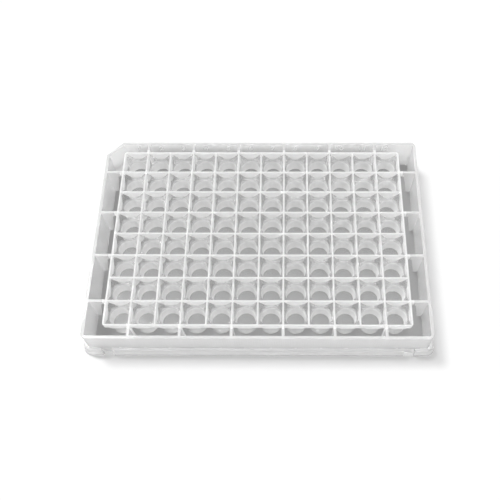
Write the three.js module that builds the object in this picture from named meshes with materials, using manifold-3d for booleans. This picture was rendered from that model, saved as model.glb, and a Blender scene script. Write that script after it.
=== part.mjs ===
// A one-piece, injection-moulded 96-well plate in clear polystyrene: an eight by twelve block of wells with
// square mouths and round tubes, hung on ribs inside an open frame with a skirt.
// Millimetres, +Z up. The origin is the centre of the plane that the plate stands on, +X runs along the
// long side, row A is the row nearest +Y and column 1 the column nearest -X.
import * as THREE from "three";
import { mergeVertices } from "three/addons/utils/BufferGeometryUtils.js";
import Module from "manifold-3d";

const wasm = await Module();
wasm.setup();

// The plate as a whole.
const plateHeight = 14.35;
const footHalfX = 63.88;
const footHalfY = 42.74;
const columns = 12;
const rows = 8;
const pitch = 9;

// The frame: an upright wall with a slight draft, and a flared skirt round its foot.
const rimHalfX = 61.3;
const rimHalfY = 41.0;
const frameInnerX = 60.2;
const frameInnerY = 39.9;
const wallDraft = 0.3;
const frameCornerRadius = 1.8;
const skirtHeight = 4.6;
const skirtFlareX = 0.9;
const skirtFlareY = 0.45;
const skirtCornerRadius = 3.2;
const orientationChamfer = 6;

// The hollow inside the skirt, open at the bottom, that keeps the moulding at one thickness.
const skirtThickness = 1.0;
const channelHeight = 2.6;

// The gripper notches near both ends of the front skirt.
const notchCentreX = 54.2;
const notchWidth = 3.8;

// The block of wells.
const mouthHalf = 4.15;
const blockWall = 0.7;
const blockSkirtDepth = 2.2;
const blockCornerRadius = 1.0;

// One well: a funnel from the corners of the square mouth, then a round tube with a flat floor.
const funnelSlope = 0.458;
const funnelCornerReach = mouthHalf * Math.SQRT2;
const wallThickness = 0.6;
const tubeTopRadius = 3.65;
const tubeFloorRadius = 3.37;
const tubeOuterRadius = 4.15;
const tubeOuterFootRadius = 4.0;
const floorInnerZ = 4.7;
const floorOuterZ = 3.5;
const wellSides = 8;

// The ribs that carry the block.
const ribThickness = 1.0;
const endRibFoot = 1.2;
const sideRibFoot = 0.7;
const sideRibReachAtFoot = 58.7;
const sideRibReachAtTop = 56.1;
const bridgeDepth = 2.2;

// The raised column numbers on the inside of the back wall, 1 above the first column.
const numeralHeight = 2.4;
const numeralWidth = 1.35;
const numeralStroke = 0.35;
const numeralGap = 0.5;
const numeralRelief = 0.15;
const numeralFootZ = 9.6;
// The strokes of the digits 0 to 9: a top, b upper right, c lower right, d foot, e lower left, f upper left,
// g middle.
const digitStrokes = [
  "abcdef", "bc", "abged", "abgcd", "fgbc", "afgcd", "afgecd", "abc", "abcdefg", "abfgcd",
];

// How far pieces run into each other where they join, and above the top before it is faced off.
const overlap = 0.2;
const roughTop = plateHeight + 1;
const curveSegments = 6;
// Edges that bend less than this are dropped from the finished mesh.
const flatTolerance = 0.001;

// Half the size of the block inside its outer wall.
const blockInnerX = ((columns - 1) / 2) * pitch + mouthHalf;
const blockInnerY = ((rows - 1) / 2) * pitch + mouthHalf;

function toSolid(geometry) {
  const bare = geometry.clone();
  bare.deleteAttribute("normal");
  bare.deleteAttribute("uv");
  const merged = mergeVertices(bare, 1e-4);
  const index = merged.index.array;
  const triangles = [];
  for (let i = 0; i < index.length; i += 3) {
    const [a, b, c] = [index[i], index[i + 1], index[i + 2]];
    if (a !== b && b !== c && c !== a) triangles.push(a, b, c);
  }
  const mesh = new wasm.Mesh({
    numProp: 3,
    vertProperties: merged.attributes.position.array,
    triVerts: new Uint32Array(triangles),
  });
  return new wasm.Manifold(mesh);
}

function toGeometry(solid) {
  const mesh = solid.getMesh();
  const geometry = new THREE.BufferGeometry();
  geometry.setAttribute("position", new THREE.BufferAttribute(mesh.vertProperties, 3));
  geometry.setIndex(new THREE.BufferAttribute(mesh.triVerts, 1));
  geometry.computeVertexNormals();
  return geometry;
}

function unite(solids) {
  let level = solids;
  while (level.length > 1) {
    const next = [];
    for (let i = 0; i < level.length; i += 2) {
      next.push(i + 1 < level.length ? level[i].add(level[i + 1]) : level[i]);
    }
    level = next;
  }
  return level[0];
}

// A rectangle with three round corners and, when a chamfer is given, a cut corner at -X +Y.
function plateOutline(halfX, halfY, radius, chamfer = 0) {
  const shape = new THREE.Shape();
  shape.moveTo(-halfX + radius, -halfY);
  shape.lineTo(halfX - radius, -halfY);
  shape.absarc(halfX - radius, -halfY + radius, radius, -Math.PI / 2, 0);
  shape.lineTo(halfX, halfY - radius);
  shape.absarc(halfX - radius, halfY - radius, radius, 0, Math.PI / 2);
  if (chamfer > 0) {
    shape.lineTo(-halfX + chamfer, halfY);
    shape.lineTo(-halfX, halfY - chamfer);
  } else {
    shape.lineTo(-halfX + radius, halfY);
    shape.absarc(-halfX + radius, halfY - radius, radius, Math.PI / 2, Math.PI);
  }
  shape.lineTo(-halfX, -halfY + radius);
  shape.absarc(-halfX + radius, -halfY + radius, radius, Math.PI, Math.PI * 1.5);
  return shape;
}

function prism(shape, bottom, top) {
  const geometry = new THREE.ExtrudeGeometry(shape, {
    depth: top - bottom,
    bevelEnabled: false,
    curveSegments,
  });
  return geometry.translate(0, 0, bottom);
}

// Slopes the sides of a prism, which then keeps its size at the given height and is growX and growY wider
// on each side at Z 0.
function flare(geometry, halfX, halfY, growX, growY, height) {
  const position = geometry.attributes.position;
  for (let i = 0; i < position.count; i += 1) {
    const share = 1 - position.getZ(i) / height;
    position.setX(i, position.getX(i) * (1 + (share * growX) / halfX));
    position.setY(i, position.getY(i) * (1 + (share * growY) / halfY));
  }
  return geometry;
}

function boxBetween(low, high) {
  const geometry = new THREE.BoxGeometry(high[0] - low[0], high[1] - low[1], high[2] - low[2]);
  geometry.translate((low[0] + high[0]) / 2, (low[1] + high[1]) / 2, (low[2] + high[2]) / 2);
  return toSolid(geometry);
}

// A flat plate cut to a side outline of [distance along its run, height] points, standing on the line
// where across is constant. Its run is along X or along Y.
function uprightPlate(outline, along, across) {
  const shape = new THREE.Shape(outline.map(([run, height]) => new THREE.Vector2(run, height)));
  const geometry = new THREE.ExtrudeGeometry(shape, { depth: ribThickness, bevelEnabled: false });
  geometry.translate(0, 0, -ribThickness / 2);
  geometry.rotateX(Math.PI / 2);
  if (along === "y") geometry.rotateZ(Math.PI / 2);
  geometry.translate(along === "x" ? 0 : across, along === "x" ? across : 0, 0);
  return toSolid(geometry);
}

// The vertex radius of the regular polygon that has a circle's area.
function polygonRadius(circleRadius) {
  const turn = (2 * Math.PI) / wellSides;
  return circleRadius * Math.sqrt(turn / Math.sin(turn));
}

// A profile of [radius, height] points from axis to axis, turned about Z with a flat side facing +X.
function turned(profile) {
  const points = profile.map(([radius, height]) => new THREE.Vector2(radius, height));
  const geometry = new THREE.LatheGeometry(points, wellSides, Math.PI / wellSides);
  return toSolid(geometry.rotateX(Math.PI / 2));
}

// The funnel's vertex radius at a height, measured so that a flat of the polygon runs through the corners
// of the mouth at the top. The outer skin lies one wall thickness outside the inner one.
function funnelRadius(height, skin) {
  const reach = funnelCornerReach - funnelSlope * (plateHeight - height);
  const offset = skin * Math.hypot(1, funnelSlope);
  return (reach + offset) / Math.cos(Math.PI / wellSides);
}

function heightOfFunnelRadius(vertexRadius, skin) {
  const reach = vertexRadius * Math.cos(Math.PI / wellSides) - skin * Math.hypot(1, funnelSlope);
  return plateHeight - (funnelCornerReach - reach) / funnelSlope;
}

function squarePrism(half, bottom, top) {
  return boxBetween([-half, -half, bottom], [half, half, top]);
}

function wellOutside() {
  const tubeTop = polygonRadius(tubeOuterRadius);
  return turned([
    [0, floorOuterZ],
    [polygonRadius(tubeOuterFootRadius), floorOuterZ],
    [tubeTop, heightOfFunnelRadius(tubeTop, wallThickness)],
    [funnelRadius(roughTop, wallThickness), roughTop],
    [0, roughTop],
  ]);
}

function wellInside() {
  const tubeTop = polygonRadius(tubeTopRadius);
  const funnel = turned([
    [0, floorInnerZ],
    [polygonRadius(tubeFloorRadius), floorInnerZ],
    [tubeTop, heightOfFunnelRadius(tubeTop, 0)],
    [funnelRadius(roughTop + 1, 0), roughTop + 1],
    [0, roughTop + 1],
  ]);
  return funnel.intersect(squarePrism(mouthHalf, 0, roughTop + 1));
}

// Copies of one solid at the centre of every well, joined. Neighbours may overlap.
function overAllWells(solid) {
  const geometry = toGeometry(solid);
  const copies = [];
  for (let column = 0; column < columns; column += 1) {
    for (let row = 0; row < rows; row += 1) {
      const x = (column - (columns - 1) / 2) * pitch;
      const y = (row - (rows - 1) / 2) * pitch;
      copies.push(toSolid(geometry.clone().translate(x, y, 0)));
    }
  }
  return unite(copies);
}

// The outsides of neighbouring wells run into each other above the crease half way between them, and leave a
// star-shaped hollow below each place where four wells meet.
function wellBlock() {
  const bottom = plateHeight - blockSkirtDepth;
  const outer = plateOutline(blockInnerX + blockWall, blockInnerY + blockWall, blockCornerRadius);
  const inner = plateOutline(blockInnerX, blockInnerY, blockCornerRadius / 2);
  const skirt = toSolid(prism(outer, bottom, roughTop))
    .subtract(toSolid(prism(inner, bottom - 1, roughTop + 1)));
  return overAllWells(wellOutside())
    .intersect(toSolid(prism(outer, 0, roughTop)))
    .add(skirt);
}

function frame() {
  const rim = plateOutline(rimHalfX, rimHalfY, frameCornerRadius, orientationChamfer);
  const wall = flare(prism(rim, 0, roughTop), rimHalfX, rimHalfY, wallDraft, wallDraft, plateHeight);
  const topX = footHalfX - skirtFlareX;
  const topY = footHalfY - skirtFlareY;
  const skirtShape = plateOutline(topX, topY, skirtCornerRadius, orientationChamfer);
  const skirt = flare(prism(skirtShape, 0, skirtHeight), topX, topY, skirtFlareX, skirtFlareY, skirtHeight);
  const opening = plateOutline(frameInnerX, frameInnerY, frameCornerRadius / 2, orientationChamfer);
  return toSolid(wall)
    .add(toSolid(skirt))
    .subtract(toSolid(prism(opening, -1, roughTop + 1)))
    .subtract(skirtChannel());
}

// The channel follows the skirt's flare on its outer side and the frame's wall on its inner side.
function skirtChannel() {
  const share = channelHeight / skirtHeight;
  const topX = footHalfX - skirtThickness - share * skirtFlareX;
  const topY = footHalfY - skirtThickness - share * skirtFlareY;
  const shape = plateOutline(topX, topY, skirtCornerRadius - skirtThickness, orientationChamfer);
  const hollow = prism(shape, 0, channelHeight);
  flare(hollow, topX, topY, share * skirtFlareX, share * skirtFlareY, channelHeight);
  const core = plateOutline(rimHalfX, rimHalfY, frameCornerRadius, orientationChamfer);
  return toSolid(hollow).subtract(toSolid(prism(core, -1, channelHeight + 1)));
}

function notches() {
  const cuts = [];
  for (const side of [-1, 1]) {
    const x = side * notchCentreX;
    const low = [x - notchWidth / 2, -footHalfY - 1, -1];
    const high = [x + notchWidth / 2, -rimHalfY - wallDraft, skirtHeight];
    cuts.push(boxBetween(low, high));
  }
  return unite(cuts);
}

// Ribs between the frame's long walls and the block, one at every second wall between columns.
function endRibs() {
  const blockEdge = blockInnerY + blockWall - overlap;
  const wallEdge = frameInnerY + overlap;
  const outline = [
    [blockEdge, endRibFoot],
    [wallEdge, endRibFoot],
    [wallEdge, roughTop],
    [blockEdge, roughTop],
  ];
  const ribs = [];
  for (let column = 1; column < columns; column += 2) {
    const x = (column - columns / 2) * pitch;
    ribs.push(uprightPlate(outline, "y", x));
    ribs.push(uprightPlate(mirrored(outline), "y", x));
  }
  return unite(ribs);
}

// Ribs between the frame's short walls and the block: deep against the wall, and only a shallow bridge
// from there to the block.
function sideRibs() {
  const blockEdge = blockInnerX + blockWall - overlap;
  const wallEdge = frameInnerX + overlap;
  const bridgeFoot = plateHeight - bridgeDepth;
  const outline = [
    [blockEdge, bridgeFoot],
    [sideRibReachAtTop, bridgeFoot],
    [sideRibReachAtFoot, sideRibFoot],
    [wallEdge, sideRibFoot],
    [wallEdge, roughTop],
    [blockEdge, roughTop],
  ];
  const ribs = [];
  for (let row = 1; row < rows; row += 2) {
    const y = (row - rows / 2) * pitch;
    ribs.push(uprightPlate(outline, "x", y));
    ribs.push(uprightPlate(mirrored(outline), "x", y));
  }
  return unite(ribs);
}

// One number, centred on x, as bars that stand out from the wall towards -Y.
function raisedNumber(number, x) {
  const middle = (numeralHeight - numeralStroke) / 2;
  const right = numeralWidth - numeralStroke;
  const barSpans = {
    a: [0, numeralHeight - numeralStroke, numeralWidth, numeralHeight],
    b: [right, middle, numeralWidth, numeralHeight],
    c: [right, 0, numeralWidth, middle + numeralStroke],
    d: [0, 0, numeralWidth, numeralStroke],
    e: [0, 0, numeralStroke, middle + numeralStroke],
    f: [0, middle, numeralStroke, numeralHeight],
    g: [0, middle, numeralWidth, middle + numeralStroke],
  };
  const digits = String(number).split("").map(Number);
  const step = numeralWidth + numeralGap;
  const start = x - (digits.length * step - numeralGap) / 2;
  return digits.flatMap((digit, place) => digitStrokes[digit].split("").map((stroke) => {
    const [left, low, end, top] = barSpans[stroke];
    const shift = start + place * step;
    return boxBetween(
      [shift + left, frameInnerY - numeralRelief, numeralFootZ + low],
      [shift + end, frameInnerY + overlap, numeralFootZ + top],
    );
  }));
}

function columnNumbers() {
  const numbers = [];
  for (let column = 0; column < columns; column += 1) {
    numbers.push(...raisedNumber(column + 1, (column - (columns - 1) / 2) * pitch));
  }
  return unite(numbers);
}

function mirrored(outline) {
  return outline.map(([run, height]) => [-run, height]).reverse();
}

// Everything is made a little too tall and faced off together, so that the whole top is one flat land.
function moulding() {
  const low = [-footHalfX, -footHalfY, plateHeight];
  const high = [footHalfX, footHalfY, roughTop + 1];
  return unite([frame(), wellBlock(), endRibs(), sideRibs(), columnNumbers()])
    .subtract(overAllWells(wellInside()))
    .subtract(notches())
    .subtract(boxBetween(low, high))
    .asOriginal()
    .simplify(flatTolerance);
}

const plate = new THREE.Mesh(
  toGeometry(moulding()),
  new THREE.MeshStandardMaterial({
    color: 0xe9eaea,
    roughness: 0.06,
    metalness: 0,
    transparent: true,
    opacity: 0.45,
  }),
);
plate.name = "plate";

const wellPlate = new THREE.Group();
wellPlate.add(plate);

export default wellPlate;
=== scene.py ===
import math

import bmesh
import bpy
import numpy as np
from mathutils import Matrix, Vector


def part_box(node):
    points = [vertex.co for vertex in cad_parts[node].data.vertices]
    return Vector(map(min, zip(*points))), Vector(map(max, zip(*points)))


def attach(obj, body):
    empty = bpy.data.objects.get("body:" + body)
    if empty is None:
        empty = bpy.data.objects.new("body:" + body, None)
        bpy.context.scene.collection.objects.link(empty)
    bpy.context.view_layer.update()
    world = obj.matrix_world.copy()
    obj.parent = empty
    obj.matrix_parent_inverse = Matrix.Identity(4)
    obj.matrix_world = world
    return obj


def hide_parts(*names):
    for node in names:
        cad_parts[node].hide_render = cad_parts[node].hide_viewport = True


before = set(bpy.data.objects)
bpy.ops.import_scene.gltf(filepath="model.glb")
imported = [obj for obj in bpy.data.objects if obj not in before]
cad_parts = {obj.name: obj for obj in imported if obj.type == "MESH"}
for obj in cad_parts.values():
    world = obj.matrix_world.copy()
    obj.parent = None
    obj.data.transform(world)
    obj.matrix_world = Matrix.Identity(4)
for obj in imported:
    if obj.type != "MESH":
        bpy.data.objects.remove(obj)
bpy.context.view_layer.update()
mm = 0.001
plateLow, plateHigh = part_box("plate")
topZ = plateHigh.z
footZ = plateLow.z
print("frame loaded")

shaping = {
    "weld": 0.002 * mm,          # points closer than this become one
    "crease": 35,                # edges that turn by more degrees than this stay sharp
    "past": 1.0 * mm,            # how far a cutting body runs past what it cuts
    "cornerPoints": 7,           # points on each corner of an outline
}


# A closed mesh from points and faces. Points closer than the weld distance become one, which also shrinks
# or drops the faces that lose their points.
def meshPiece(name, points, faces):
    mesh = bpy.data.meshes.new(name)
    mesh.from_pydata(points.tolist(), [], faces)
    work = bmesh.new()
    work.from_mesh(mesh)
    bmesh.ops.remove_doubles(work, verts=work.verts, dist=shaping["weld"])
    work.to_mesh(mesh)
    work.free()
    piece = bpy.data.objects.new(name, mesh)
    bpy.context.scene.collection.objects.link(piece)
    return piece


# Smooth shading, except along the edges that turn by more than the crease angle.
def smooth(piece):
    mesh = piece.data
    mesh.polygons.foreach_set("use_smooth", np.ones(len(mesh.polygons), bool))
    mesh.set_sharp_from_angle(angle=math.radians(shaping["crease"]))
    mesh.update()


# The points of a flat outline, lifted to one height, or each to its own.
def atHeight(shape, height):
    return np.column_stack([shape, np.full(len(shape), height)])


# The faces of a grid of rings: ring i and ring i + 1 are joined all the way round. The faces point
# outwards when the rings run anticlockwise from above and climb.
def ringQuads(ringCount, perRing, start=0):
    ring, step = np.meshgrid(np.arange(ringCount - 1), np.arange(perRing), indexing="ij")
    after = (step + 1) % perRing
    low, high = start + ring * perRing, start + (ring + 1) * perRing
    return np.stack([low + step, low + after, high + after, high + step], -1).reshape(-1, 4)


# A closed body from a stack of such rings: the faces between them, and a flat one at both ends.
def ringStack(name, rings):
    count, perRing = rings.shape[:2]
    first = np.arange(perRing)
    ends = [first[::-1].tolist(), (first + (count - 1) * perRing).tolist()]
    return meshPiece(name, rings.reshape(-1, 3), ringQuads(count, perRing).tolist() + ends)


# The same from one outline, carried straight up.
def prism(name, shape, low, high):
    return ringStack(name, np.array([atHeight(shape, low), atHeight(shape, high)]))


# Joins one closed piece onto another, cuts it out, or keeps what both share, and removes the second.
def combine(piece, other, operation):
    modifier = piece.modifiers.new(operation, "BOOLEAN")
    modifier.operation = operation
    modifier.solver = "MANIFOLD"
    modifier.object = other
    evaluated = piece.evaluated_get(bpy.context.evaluated_depsgraph_get())
    mesh = bpy.data.meshes.new_from_object(evaluated)
    piece.modifiers.clear()
    old = piece.data
    piece.data = mesh
    bpy.data.meshes.remove(old)
    bpy.data.objects.remove(other)


wells = {
    "columns": 12,
    "rows": 8,
    "pitch": 9.0 * mm,
    "mouthHalf": 4.15 * mm,      # half the width of a square mouth
    "mouthEdge": 0.12 * mm,      # small bevel round each mouth
    "cornerDrop": 0.3 * mm,      # how far below the top the funnel meets the mouth's corner
    "funnelSlope": 0.488,        # how much wider the funnel gets for each unit of height
    "funnelStart": 0.15 * mm,    # it starts this far outside the tube
    "insideSteps": (0, 0.5, 1),  # its rings, as shares of the way from the tube to the mouth
    "outsideSteps": (0, 0.3, 0.65, 1),       # and those of its outside
    "wall": 0.6 * mm,
    "tubeTop": 3.65 * mm,        # radii of the tube, inside
    "tubeFloor": 3.37 * mm,
    "tubeEdge": ((-0.01 * mm, 0.15 * mm), (0.05 * mm, 0.02 * mm)),  # rings that ease its top: out and down
    "floorZ": 4.7 * mm,
    "tubeOuterTop": 4.15 * mm,   # and outside
    "tubeOuterFoot": 4.0 * mm,
    "underZ": 3.5 * mm,
    "fillet": 0.12 * mm,         # round the floor, and round the foot of the tube
    "discInset": 0.3 * mm,       # the flat disc of the floor and of the foot stops this far inside the wall
    "rimOverhang": 0.68 * mm,    # how far the block runs past the outermost mouths, inside its skirt
    "landThickness": 0.6 * mm,   # least thickness under the land
    "sameLine": 1e-6 * mm,       # points this close to the block's edge lie on it
}
# the directions of the forty points round a well; each corner of the square has one
octant = np.radians([0, 10, 20, 30, 39])
quarter = np.concatenate([octant, [math.pi / 4], math.pi / 2 - octant[:0:-1]])
wellAngles = np.concatenate([quarter + turn * math.pi / 2 for turn in range(4)])
around = len(wellAngles)


# Where a well's axis lies along X or Y: its place in the row, less half the row, times the pitch.
def wellPlace(index, count):
    return (index - (count - 1) / 2) * wells["pitch"]


# The height of the funnel at a distance from the well's axis: it climbs one unit for each funnelSlope it
# widens, up to the mouth's corner. skin is 0 inside and 1 outside, one wall thickness further out.
def funnelHeight(radius, skin):
    reach = wells["mouthHalf"] * math.sqrt(2)
    offset = skin * wells["wall"] * math.hypot(1, wells["funnelSlope"])
    return topZ - wells["cornerDrop"] - (reach + offset - radius) / wells["funnelSlope"]


# The rings of one well's inside, from the floor up, and of its outside, from the underside up. A ring is a
# circle times a radius at first, then blends into the square, always on the funnel's cone. The outermost
# runs at halfLow below the axis and halfHigh above it, each an [x, y] distance.
def wellRings(halfLow, halfHigh):
    w = wells
    circle = np.stack([np.cos(wellAngles), np.sin(wellAngles)], -1)
    square = circle / np.abs(circle).max(1, keepdims=True)
    edge = np.where(square > 0, square * halfHigh, square * halfLow)
    mouth = square * w["mouthHalf"]

    # a share of the way from one outline to the other, with each point at the funnel's height for its own
    # distance; outside it stays the land's thickness below the top
    def onCone(inner, outer, share, skin):
        shape = inner + (outer - inner) * share
        height = funnelHeight(np.hypot(*shape.T), skin)
        if skin:
            height = np.minimum(height, topZ - w["landThickness"])
        return atHeight(shape, height)

    # a level disc, and a quarter turn from it up into a wall of this radius
    def foot(radius, level):
        f = w["fillet"]
        rings = [atHeight(circle * (radius - w["discInset"]), level)]
        for turn in np.radians([0, 30, 60, 90]):
            rings.append(atHeight(circle * (radius - f + f * math.sin(turn)), level + f - f * math.cos(turn)))
        return rings

    inside = foot(w["tubeFloor"], w["floorZ"])
    tubeTopZ = funnelHeight(w["tubeTop"], 0)
    inside += [atHeight(circle * (w["tubeTop"] + out), tubeTopZ - down) for out, down in w["tubeEdge"]]
    start = circle * (w["tubeTop"] + w["funnelStart"])
    inside += [onCone(start, mouth, share, 0) for share in w["insideSteps"]]
    inside.append(atHeight(mouth, topZ - w["mouthEdge"]))
    inside.append(atHeight(square * (w["mouthHalf"] + w["mouthEdge"]), topZ))
    inside.append(atHeight(edge, topZ))

    outside = foot(w["tubeOuterFoot"], w["underZ"])
    tubeTop = circle * w["tubeOuterTop"]
    outside += [onCone(tubeTop, edge, share, 1) for share in w["outsideSteps"]]
    return np.array(inside), np.array(outside)


# The whole block: one grid of rings for the inside and one for the outside of each well, moved to its
# place. Neighbours share their outermost rings, and round the block the two are joined by a wall.
def wellBlock():
    columns, rows = wells["columns"], wells["rows"]
    half = wells["pitch"] / 2
    last = wells["mouthHalf"] + wells["rimOverhang"]
    blockEdge = [wellPlace(columns - 1, columns) + last, wellPlace(rows - 1, rows) + last]
    points, quads, discs, count = [], [], [], 0
    for column in range(columns):
        for row in range(rows):
            low = [last if column == 0 else half, last if row == 0 else half]
            high = [last if column == columns - 1 else half, last if row == rows - 1 else half]
            centre = [wellPlace(column, columns), wellPlace(row, rows), 0]
            inside, outside = [rings + centre for rings in wellRings(np.array(low), np.array(high))]
            inner = count + np.arange(len(inside) * around).reshape(-1, around)
            outer = inner[-1, -1] + 1 + np.arange(len(outside) * around).reshape(-1, around)
            count = outer[-1, -1] + 1
            points += [inside.reshape(-1, 3), outside.reshape(-1, 3)]
            quads.append(ringQuads(len(inside), around, inner[0, 0])[:, ::-1])
            quads.append(ringQuads(len(outside), around, outer[0, 0]))
            discs += [inner[0].tolist(), outer[0][::-1].tolist()]
            rim = inside[-1]
            ahead = np.roll(rim, -1, axis=0)
            onEdge = np.zeros(around, bool)
            for axis, edge in enumerate(blockEdge):
                outermost = np.abs(np.abs(rim[:, axis]) - edge) < wells["sameLine"]
                onEdge |= outermost & (np.abs(ahead[:, axis] - rim[:, axis]) < wells["sameLine"])
            here = np.nonzero(onEdge)[0]
            after = (here + 1) % around
            quads.append(np.stack([outer[-1][here], outer[-1][after], inner[-1][after], inner[-1][here]], 1))
    return meshPiece("plateBody", np.concatenate(points), np.concatenate(quads).tolist() + discs)


# The outline of a rectangle with round corners: each is its centre plus the radius times the cosine and the
# sine over a quarter turn. If wanted, the corner at -X +Y is a straight cut. The number of points is always
# the same, so that outlines of different sizes can be joined point by point.
def outline(halfX, halfY, radius, cut=0.0):
    corners = []
    for quarterTurn, (sideX, sideY) in enumerate([(1, 1), (-1, 1), (-1, -1), (1, -1)]):
        angle = (np.linspace(0, 1, shaping["cornerPoints"]) + quarterTurn) * math.pi / 2
        centre = np.array([sideX * (halfX - radius), sideY * (halfY - radius)])
        corner = centre + radius * np.stack([np.cos(angle), np.sin(angle)], -1)
        if cut and (sideX, sideY) == (-1, 1):
            corner = np.linspace([-halfX + cut, halfY], [-halfX, halfY - cut], shaping["cornerPoints"])
        corners.append(corner)
    return np.concatenate(corners)


# A closed section carried round an outline: each section point is [halfX, halfY, radius, cut, height].
def sweptRing(name, section):
    rings = np.array([atHeight(outline(*shape), height) for *shape, height in section])
    count, perRing = rings.shape[:2]
    quads = ringQuads(count + 1, perRing) % (count * perRing)
    return meshPiece(name, rings.reshape(-1, 3), quads.tolist())


border = {
    "rimX": 61.3 * mm,           # the outer wall at the top, as half its length and half its width
    "rimY": 41.0 * mm,
    "innerX": 60.2 * mm,         # the inside of that wall
    "innerY": 39.9 * mm,
    "draft": 0.3 * mm,           # how far the wall would spread on its way from the top to the foot
    "lean": 0.1 * mm,            # how far its inside and the channel's inner side lean
    "radius": 1.8 * mm,
    "tighter": 1.0 * mm,         # how much less radius the inner corners have
    "cut": 6.0 * mm,             # the corner that shows which way round the plate stands
    "edge": 0.12 * mm,           # bevels
    "shelfZ": 4.6 * mm,          # top of the skirt
    "skirtTopX": 62.98 * mm,
    "skirtTopY": 42.29 * mm,
    "skirtRadius": 3.2 * mm,
    "skirtWall": 1.0 * mm,
    "channelZ": 2.6 * mm,        # the channel under the skirt
    "channelX": 61.5 * mm,
    "channelY": 41.2 * mm,
    "flareX": 0.5 * mm,          # how far its outer side leans inwards on the way up
    "flareY": 0.2 * mm,
}


# The frame's section, from the inner top edge down the inside, round the foot, the channel and the skirt,
# and up the outside. The cut grows by each offset times 2 minus the square root of 2, which keeps the wall
# there as thick as the rest.
def frameRing():
    b = border
    footX, footY = plateHigh.x, plateHigh.y
    e, lean = b["edge"], b["lean"]

    def at(x, y, radius, z):
        grown = ((x - b["rimX"]) + (y - b["rimY"])) / 2
        return [x, y, radius, b["cut"] + (2 - math.sqrt(2)) * grown, z]

    spread = (1 - b["shelfZ"] / topZ) * b["draft"]
    inX, inY, inR = b["innerX"], b["innerY"], b["radius"] - b["tighter"]
    hollowX, hollowY = footX - b["skirtWall"], footY - b["skirtWall"]
    hollowR = b["skirtRadius"] - b["tighter"]
    section = [
        at(inX + e, inY + e, inR, topZ),
        at(inX, inY, inR - lean, topZ - e),
        at(inX + lean, inY + lean, inR, footZ + e),
        at(inX + lean + e, inY + lean + e, inR + lean, footZ),
        at(b["channelX"], b["channelY"], b["radius"], footZ),
        at(b["channelX"] - lean, b["channelY"] - lean, b["radius"], b["channelZ"]),
        at(hollowX - b["flareX"], hollowY - b["flareY"], hollowR, b["channelZ"]),
        at(hollowX, hollowY, hollowR, footZ),
        at(footX - e, footY - e, b["skirtRadius"], footZ),
        at(footX, footY, b["skirtRadius"], footZ + e),
        at(b["skirtTopX"], b["skirtTopY"], b["skirtRadius"], b["shelfZ"] - e),
        at(b["skirtTopX"] - e, b["skirtTopY"] - e, b["skirtRadius"], b["shelfZ"]),
        at(b["rimX"] + spread, b["rimY"] + spread, b["radius"], b["shelfZ"]),
        at(b["rimX"], b["rimY"], b["radius"], topZ - e),
        at(b["rimX"] - e, b["rimY"] - e, b["radius"], topZ),
    ]
    return sweptRing("frameRing", section)


skirt = {
    "outerX": 54.35 * mm,
    "outerY": 36.35 * mm,
    "thickness": 0.55 * mm,
    "depth": 2.2 * mm,
    "radius": 1.0 * mm,
    "edge": 0.12 * mm,           # bevels
    "lip": 0.4 * mm,             # the inner edge slopes from this far in and this far down
    "hair": 0.03 * mm,           # the block's rounded corners stay this far inside it
}


# The block's own short outer wall: its section runs from the outer top edge in over the sloping lip, down the
# inside, across the foot and up the outside.
def blockSkirt():
    s = skirt
    x, y, e, r, lip = s["outerX"], s["outerY"], s["edge"], s["radius"], s["lip"]
    inX, inY, low = x - s["thickness"], y - s["thickness"], topZ - s["depth"]
    section = [
        [x - e, y - e, r, 0, topZ],
        [x - lip, y - lip, r - lip, 0, topZ],
        [inX, inY, r - lip - e, 0, topZ - lip],
        [inX, inY, r - lip - e, 0, low + e],
        [inX + e, inY + e, r - lip, 0, low],
        [x - e, y - e, r, 0, low],
        [x, y, r, 0, low + e],
        [x, y, r, 0, topZ - e],
    ]
    return sweptRing("blockSkirt", section)


# An upright prism on that wall's outline, which takes the block's four corners off.
def roundedCorners():
    shape = outline(skirt["outerX"] - skirt["hair"], skirt["outerY"] - skirt["hair"], skirt["radius"])
    return prism("roundedCorners", shape, footZ, topZ + shaping["past"])


ribs = {
    "thickness": 1.0 * mm,
    "edge": 0.1 * mm,            # bevels
    "endFoot": 1.2 * mm,         # how far above the foot the ribs of the long sides stop
    "sideFoot": 0.7 * mm,        # and those of the short sides
    "sideReachFoot": 58.7 * mm,  # the latter lean outwards on their way down
    "sideReachTop": 56.1 * mm,
    "bridgeDepth": 2.2 * mm,     # and reach the block only by a bridge at the top
    "overlap": 0.3 * mm,         # how far a rib runs into the block's wall and the frame's
}


# An upright plate: its side outline of (run, height) points, in order, is carried across its thickness, a
# little smaller at both faces so that all its edges are bevelled. along is the axis of its run.
def uprightPlate(side, along, across):
    side = np.array(side)
    middle = (side.max(0) + side.min(0)) / 2
    inset = side - np.sign(side - middle) * ribs["edge"]
    half = ribs["thickness"] / 2
    layers = [(inset, -half), (side, -half + ribs["edge"]), (side, half - ribs["edge"]), (inset, half)]
    rings = []
    for shape, offset in layers:
        run, height = shape.T
        level = np.full(len(shape), across + offset)
        pair = (run, level) if along == "x" else (level, run)
        rings.append(np.stack([*pair, height], -1))
    run, height = side.T
    area = np.sum(run * np.roll(height, -1) - np.roll(run, -1) * height)
    turned = (area > 0) == (along == "x")    # the outline then runs the wrong way round for these layers
    return ringStack("rib", np.array(rings)[:, ::-1] if turned else np.array(rings))


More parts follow.
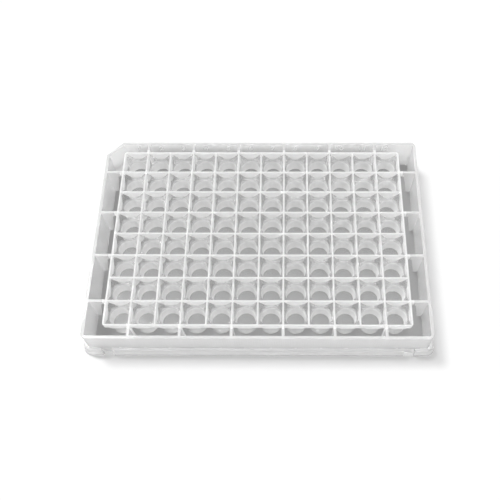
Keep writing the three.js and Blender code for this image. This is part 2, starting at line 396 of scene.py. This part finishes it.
# Six ribs stand in the gap at each long side and run straight down. The four at each short side have a
# bridge to the block and a leaning edge. Each stands midway between two wells.
def allRibs():
    r = ribs
    columns, rows = wells["columns"], wells["rows"]
    bridge = topZ - r["bridgeDepth"]
    pieces = []
    for side in (-1, 1):
        block, wall = side * (skirt["outerY"] - r["overlap"]), side * (border["innerY"] + r["overlap"])
        for column in range(1, columns, 2):
            shape = [(block, r["endFoot"]), (wall, r["endFoot"]), (wall, topZ), (block, topZ)]
            pieces.append(uprightPlate(shape, "y", wellPlace(column - 0.5, columns)))
        block, wall = side * (skirt["outerX"] - r["overlap"]), side * (border["innerX"] + r["overlap"])
        reachTop, reachFoot = side * r["sideReachTop"], side * r["sideReachFoot"]
        for row in range(1, rows, 2):
            shape = [(block, bridge), (reachTop, bridge), (reachFoot, r["sideFoot"]), (wall, r["sideFoot"]),
                     (wall, topZ), (block, topZ)]
            pieces.append(uprightPlate(shape, "x", wellPlace(row - 0.5, rows)))
    return pieces


notch = {"centre": 54.2 * mm, "width": 3.8 * mm, "height": 4.6 * mm}


# A block that cuts one notch through the front of the skirt, as far as the frame's wall.
def notchBlock(side):
    x, half = side * notch["centre"], notch["width"] / 2
    front, back = -plateHigh.y - shaping["past"], -border["rimY"] - border["draft"]
    shape = np.array([[x - half, front], [x + half, front], [x + half, back], [x - half, back]])
    return prism("notch", shape, footZ - shaping["past"], notch["height"])


numbers = {
    "height": 2.4 * mm,
    "foot": 10.8 * mm,
    "relief": 0.15 * mm,         # how far they stand out from the back wall
    "sunk": 0.1 * mm,            # and how far they run into it
    "curveSteps": 3,             # how finely the type's curves are stepped
    "typeDepth": 0.1,            # any depth above 0 tells the front of the type from its back
    "colour": 0.95,
    "roughness": (0.4, 0.65),
    "grain": 0.3 * mm,
    "grainDepth": 0.02 * mm,
}


# The column numbers, 1 above the first column: flat type made a mesh, scaled to its height, stood upright
# and turned to face the front.
def columnNumbers():
    n = numbers
    points, faces, count = [], [], 0
    for column in range(wells["columns"]):
        text = bpy.data.curves.new("number", "FONT")
        text.body = str(column + 1)
        text.resolution_u = n["curveSteps"]
        text.extrude = n["typeDepth"]
        text.align_x = "CENTER"
        typed = bpy.data.objects.new("number", text)
        bpy.context.scene.collection.objects.link(typed)
        mesh = bpy.data.meshes.new_from_object(typed.evaluated_get(bpy.context.evaluated_depsgraph_get()))
        shape = np.empty(len(mesh.vertices) * 3)
        mesh.vertices.foreach_get("co", shape)
        across, up, out = shape.reshape(-1, 3).T
        scale = n["height"] / (up.max() - up.min())
        middle = (across.max() + across.min()) / 2
        x = (across - middle) * scale + wellPlace(column, wells["columns"])
        y = np.where(out > 0, border["innerY"] - n["relief"], border["innerY"] + n["sunk"])
        z = (up - up.min()) * scale + n["foot"]
        points.append(np.stack([x, y, z], -1))
        corners = np.empty(len(mesh.loops), int)
        mesh.loops.foreach_get("vertex_index", corners)
        sizes = np.empty(len(mesh.polygons), int)
        mesh.polygons.foreach_get("loop_total", sizes)
        faces += [face.tolist() for face in np.split(corners + count, np.cumsum(sizes)[:-1])]
        count += len(x)
        bpy.data.objects.remove(typed)
        bpy.data.curves.remove(text)
        bpy.data.meshes.remove(mesh)
    return meshPiece("columnNumbers", np.concatenate(points), faces)


plate = wellBlock()
combine(plate, roundedCorners(), "INTERSECT")
print("wells:", len(plate.data.polygons), "faces")
for part in [blockSkirt(), frameRing()] + allRibs():
    combine(plate, part, "UNION")
for side in (-1, 1):
    combine(plate, notchBlock(side), "DIFFERENCE")
print("frame, ribs and notches joined")


# Gives a node's input a value, or links another node's output to it.
def feed(tree, socket, value):
    if isinstance(value, bpy.types.NodeSocket):
        tree.links.new(value, socket)
    else:
        socket.default_value = value


# The same for several inputs, by their names.
def feedByName(tree, node, inputs):
    for name, value in inputs.items():
        feed(tree, node.inputs[name], value)


def addNode(tree, kind, inputs):
    made = tree.nodes.new(kind)
    feedByName(tree, made, inputs)
    return made


# The result of one step of arithmetic.
def maths(tree, operation, *values):
    made = tree.nodes.new("ShaderNodeMath")
    made.operation = operation
    for socket, value in zip(made.inputs, values):
        feed(tree, socket, value)
    return made.outputs["Value"]


# A value carried over from one span to another, each (from, to), and held at the ends of the second.
def mapRange(tree, value, span, result, interpolation="LINEAR"):
    made = addNode(tree, "ShaderNodeMapRange", {"Value": value, "From Min": span[0], "From Max": span[1],
                                                "To Min": result[0], "To Max": result[1]})
    made.interpolation_type = interpolation
    return made.outputs["Result"]


# The first shader where share is 0, the second where it is 1.
def mixShaders(tree, share, first, second):
    made = tree.nodes.new("ShaderNodeMixShader")
    for socket, value in zip(made.inputs, (share, first, second)):
        feed(tree, socket, value)
    return made.outputs["Shader"]


# The piece's own coordinates, taken apart into X, Y and Z.
def ownPlace(tree):
    place = tree.nodes.new("ShaderNodeTexCoord")
    return addNode(tree, "ShaderNodeSeparateXYZ", {"Vector": place.outputs["Object"]}).outputs


# A new material with its tree and its shader.
def newMaterial(name):
    material = bpy.data.materials.new(name)
    material.use_nodes = True
    tree = material.node_tree
    return material, tree, tree.nodes["Principled BSDF"]


def grey(tone):
    return (tone, tone, tone, 1)


# Noise of this size as a relief of this depth, and as uneven polish: the roughness goes from the first of
# its two values to the second while the noise goes over its span. under is a relief that this one lies on.
def unevenSurface(tree, shader, size, depth, roughness, span=(0.0, 1.0), under=None):
    place = tree.nodes.new("ShaderNodeTexCoord")
    noise = addNode(tree, "ShaderNodeTexNoise", {"Vector": place.outputs["Object"], "Scale": 1 / size})
    relief = addNode(tree, "ShaderNodeBump", {"Height": noise.outputs["Fac"], "Distance": depth})
    if under is not None:
        feed(tree, relief.inputs["Normal"], under)
    feed(tree, shader.inputs["Normal"], relief.outputs["Normal"])
    feed(tree, shader.inputs["Roughness"], mapRange(tree, noise.outputs["Fac"], span, roughness))


clear = {
    "tint": 0.998,
    "ior": 1.5,
    "roughness": (0.03, 0.09),
    "milkDepth": 3.0 * mm,       # how deep light goes in where the surface scatters it
    # three values each: for the block, for the frame's walls and for the skirt
    "wall": (0.15, 0.65, 0.6),   # how much of an upright surface is clear; the rest scatters light
    "level": (0.98, 0.98, 0.7),  # the same for a level one, polished in the mould
    "land": (0.25, 0.45, 0.4),   # and for the flat land at the top, kept milky so that it shows white: a painted highlight
    "key": (1.0, 0.6, 0.0),      # how much of the lamp's light an upright surface lets through
    # a surface counts as upright up to the first value of its normal's Z, and as level from the second on
    "clearSpan": (0.15, 0.44),   # for how clear it is
    "keySpan": (0.15, 0.5),      # for the lamp's light
    "shadowSpan": (0.8, 0.95),   # for how much it dims what goes through
    "shadow": 0.86,              # what a level surface lets through
    "forward": 0.9,              # how much of the bounced light goes through where the surface scatters
    "satin": 1.0,                # the tone of a surface for the light that doesn't go through
    "landDepths": (0.15 * mm, 0.05 * mm),    # the land's values come in between these depths below the top
    "blockReach": 1.0 * mm,      # the block's values hold this far past its wall
    "wallReach": 0.25 * mm,      # and the frame's this far past its rim
    "ripple": 5.0 * mm,          # size of the faint waves the mould leaves in the surface
    "rippleDepth": 0.01 * mm,
    "rippleSpan": (0.3, 0.7),    # most of the noise lies between these
    "ringStep": 0.8 * mm,        # the turned mould pins leave faint rings in each well
    "ringDepth": 0.006 * mm,
}


# The plastic of the whole plate: clear on level faces and partly milky on upright ones.
def clearPlastic():
    material, tree, shader = newMaterial("clearPlastic")
    feedByName(tree, shader, {
        "Base Color": grey(clear["tint"]), "IOR": clear["ior"], "Subsurface Weight": 1.0,
        "Subsurface Radius": (1, 1, 1), "Subsurface Scale": clear["milkDepth"]})
    place = ownPlace(tree)

    # the turned rings go by the sine of the distance from the nearest well's axis, which lies where the
    # remainder of X and of Y by the pitch is half a pitch
    squares = []
    for axis in "XY":
        remainder = maths(tree, "FLOORED_MODULO", place[axis], wells["pitch"])
        aside = maths(tree, "SUBTRACT", remainder, wells["pitch"] / 2)
        squares.append(maths(tree, "MULTIPLY", aside, aside))
    radius = maths(tree, "SQRT", maths(tree, "ADD", *squares))
    turned = maths(tree, "SINE", maths(tree, "MULTIPLY", radius, 2 * math.pi / clear["ringStep"]))
    rings = addNode(tree, "ShaderNodeBump", {"Height": turned, "Distance": clear["ringDepth"]})
    unevenSurface(tree, shader, clear["ripple"], clear["rippleDepth"], clear["roughness"],
                  span=clear["rippleSpan"], under=rings.outputs["Normal"])

    # 1 outside a rectangle of these half sizes, grown by reach, and 0 inside
    def beyond(halfX, halfY, reach):
        past = [maths(tree, "SUBTRACT", maths(tree, "ABSOLUTE", place[axis]), half + reach)
                for axis, half in (("X", halfX), ("Y", halfY))]
        return maths(tree, "GREATER_THAN", maths(tree, "MAXIMUM", *past), 0.0)

    outsideBlock = beyond(skirt["outerX"], skirt["outerY"], clear["blockReach"])
    onSkirt = beyond(border["rimX"], border["rimY"], clear["wallReach"])

    def mixed(share, first, second):
        return addNode(tree, "ShaderNodeMix", {"Factor": share, "A": first, "B": second}).outputs["Result"]

    # one value for the block, one for the frame's walls and one for its skirt
    def byPart(name):
        block, walls, foot = clear[name]
        return mixed(onSkirt, mixed(outsideBlock, block, walls), foot)

    facing = tree.nodes.new("ShaderNodeNewGeometry")
    normal = addNode(tree, "ShaderNodeSeparateXYZ", {"Vector": facing.outputs["Normal"]})
    level = maths(tree, "ABSOLUTE", normal.outputs["Z"])
    clearness = mapRange(tree, level, clear["clearSpan"], (byPart("wall"), byPart("level")))
    # the land at the top takes its own milkier values, which paint a highlight on it
    landHighlightShare = mapRange(tree, place["Z"], [topZ - depth for depth in clear["landDepths"]], (0.0, 1.0))
    clearness = mixed(landHighlightShare, clearness, byPart("land"))
    feed(tree, shader.inputs["Transmission Weight"], clearness)

    # bounced light and lamp light go partly straight through, and meet a satin surface with the rest
    path = tree.nodes.new("ShaderNodeLightPath")
    loss = mapRange(tree, level, clear["shadowSpan"], (1.0, clear["shadow"]))
    through = addNode(tree, "ShaderNodeBsdfTransparent", {"Color": loss}).outputs["BSDF"]
    satin = addNode(tree, "ShaderNodeBsdfDiffuse", {"Color": grey(clear["satin"])}).outputs["BSDF"]
    bounced = mapRange(tree, clearness, (0.0, 1.0), (clear["forward"], 1.0))
    straight = mapRange(tree, level, clear["keySpan"], (byPart("key"), 1.0))
    surface = shader.outputs["BSDF"]
    for ray, passing in (("Is Diffuse Ray", bounced), ("Is Shadow Ray", straight)):
        surface = mixShaders(tree, path.outputs[ray], surface, mixShaders(tree, passing, satin, through))
    feed(tree, tree.nodes["Material Output"].inputs["Surface"], surface)
    return material


# The numbers are left rough in the mould, with a fine grain, so they stand out white on the polished wall.
def frostedPlastic():
    material, tree, shader = newMaterial("frostedNumbers")
    feedByName(tree, shader, {"Base Color": grey(numbers["colour"]), "IOR": clear["ior"]})
    unevenSurface(tree, shader, numbers["grain"], numbers["grainDepth"], numbers["roughness"])
    return material


finishes = [clearPlastic(), frostedPlastic()]
numberPiece = columnNumbers()
for slot, piece in enumerate((plate, numberPiece)):
    piece.data.materials.clear()     # joining leaves an empty slot
    for finish in finishes:
        piece.data.materials.append(finish)
    piece.data.polygons.foreach_set("material_index", np.full(len(piece.data.polygons), slot))
combine(plate, numberPiece, "UNION")
smooth(plate)
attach(plate, "root")
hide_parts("plate")
plate.data.calc_loop_triangles()
print("plate ready:", len(plate.data.loop_triangles), "triangles")

stage = {
    "floorSize": 3.0,
    "floorColour": 0.8,
    "floorGap": 0.05 * mm,       # how far below the foot the floor lies
    "paintedShadeGap": 0.025 * mm,       # the grey card of painted shade
    "shadeGap": 0.0375 * mm,     # and the strip of painted shadow
    # the card's grey: painted shade on the floor under the plate, seen through the plastic
    "paintedShadeColour": 0.3,
    "paintedShadeInset": 2.4 * mm,       # the card of painted shade lies this far inside the foot
    "shadeInset": 4.8 * mm,      # the soft grey strip of painted shadow behind the plate starts this far inside it
    "shadeX": (48 * mm, 58 * mm),        # and fades out between these distances
    "shadeY": (46.5 * mm, 51 * mm),
    "shadeColour": 0.2,
}


# Paint of one tone, without any shine.
def matt(name, tone):
    material, tree, shader = newMaterial(name)
    feedByName(tree, shader, {"Base Color": grey(tone), "Roughness": 1.0, "Specular IOR Level": 0.0})
    return material


# The same paint for the strip of painted shadow behind the plate, whose grey goes over to the floor's colour
# with distance along X and Y.
def fadingPaintedShadow(name):
    material = matt(name, stage["floorColour"])
    tree = material.node_tree
    place = ownPlace(tree)
    tones = (stage["shadeColour"], stage["floorColour"])
    fades = [mapRange(tree, maths(tree, "ABSOLUTE", place[axis]), stage["shade" + axis], tones, "SMOOTHSTEP")
             for axis in "XY"]
    feed(tree, tree.nodes["Principled BSDF"].inputs["Base Color"], maths(tree, "MAXIMUM", *fades))
    return material


# A level sheet under the plate, from its outline.
def stageSheet(name, shape, gap, paint):
    mesh = bpy.data.meshes.new(name)
    mesh.from_pydata(atHeight(shape, footZ - gap).tolist(), [], [list(range(len(shape)))])
    sheet = bpy.data.objects.new(name, mesh)
    bpy.context.scene.collection.objects.link(sheet)
    mesh.materials.append(paint)


floorShape = np.array([[-1, -1], [1, -1], [1, 1], [-1, 1]]) * stage["floorSize"] / 2
stageSheet("floor", floorShape, stage["floorGap"], matt("floorPaint", stage["floorColour"]))
# a grey card under the plate: painted shade on the floor, seen through the plastic
paintedShadeHalf = [half - stage["paintedShadeInset"] for half in (plateHigh.x, plateHigh.y)]
paintedShadeShape = outline(*paintedShadeHalf, border["skirtRadius"], border["cut"])
stageSheet("paintedShadeCard", paintedShadeShape, stage["paintedShadeGap"], matt("paintedShadePaint", stage["paintedShadeColour"]))
# a strip of painted shadow on the floor behind the plate
near, far, reach = plateHigh.y - stage["shadeInset"], stage["shadeY"][1], stage["shadeX"][1]
shadeShape = np.array([[-reach, near], [reach, near], [reach, far], [-reach, far]])
stageSheet("shade", shadeShape, stage["shadeGap"], fadingPaintedShadow("paintedShadowPaint"))

lamps = {
    "fill": 0.7,                 # the world's light on the plate
    "shown": 1.0,                # and what is seen of it
    "key": 2.16,                 # the one lamp
    "tilt": 32,                  # degrees off vertical
    "turn": 230,
    "soft": 14,                  # how many degrees wide the lamp looks
}

scene = bpy.context.scene
world = bpy.data.worlds.new("studio")
scene.world = world
world.use_nodes = True
# the plate is lit by fill; what the camera sees, by reflection and through the plastic too, is shown
sky = world.node_tree
fill = sky.nodes["Background"]
feedByName(sky, fill, {"Color": grey(1.0), "Strength": lamps["fill"]})
shown = addNode(sky, "ShaderNodeBackground", {"Color": grey(1.0), "Strength": lamps["shown"]})
skyPath = sky.nodes.new("ShaderNodeLightPath")
light = fill.outputs["Background"]
for ray in ("Is Camera Ray", "Is Glossy Ray", "Is Transmission Ray"):
    light = mixShaders(sky, skyPath.outputs[ray], light, shown.outputs["Background"])
feed(sky, sky.nodes["World Output"].inputs["Surface"], light)

keyData = bpy.data.lights.new("keyLamp", "SUN")
keyData.energy = lamps["key"]
keyData.angle = math.radians(lamps["soft"])
keyLamp = bpy.data.objects.new("keyLamp", keyData)
keyLamp.visible_glossy = False   # the plastic shows no mirror image of it
keyLamp.rotation_euler = (math.radians(lamps["tilt"]), 0, math.radians(lamps["turn"]))
scene.collection.objects.link(keyLamp)

view = {
    "place": (10.81 * mm, -111.101 * mm, 227.351 * mm),
    "turn": (26.071, 0.407, 0.309),          # degrees
    "lens": 46.41,
    "sensor": 36,
    "shiftX": -0.0656,
}
cameraData = bpy.data.cameras.new("camera")
cameraData.lens = view["lens"]
cameraData.sensor_width = view["sensor"]
cameraData.shift_x = view["shiftX"]
camera = bpy.data.objects.new("camera", cameraData)
camera.location = view["place"]
camera.rotation_euler = [math.radians(turn) for turn in view["turn"]]
scene.collection.objects.link(camera)
scene.camera = camera

bounces = {"most": 32, "glossy": 16, "transparent": 64}
scene.view_settings.view_transform = "Standard"
scene.cycles.max_bounces = bounces["most"]
scene.cycles.transmission_bounces = bounces["most"]
scene.cycles.glossy_bounces = bounces["glossy"]
scene.cycles.transparent_max_bounces = bounces["transparent"]
scene.cycles.caustics_refractive = False
scene.cycles.caustics_reflective = False
print("stage ready")
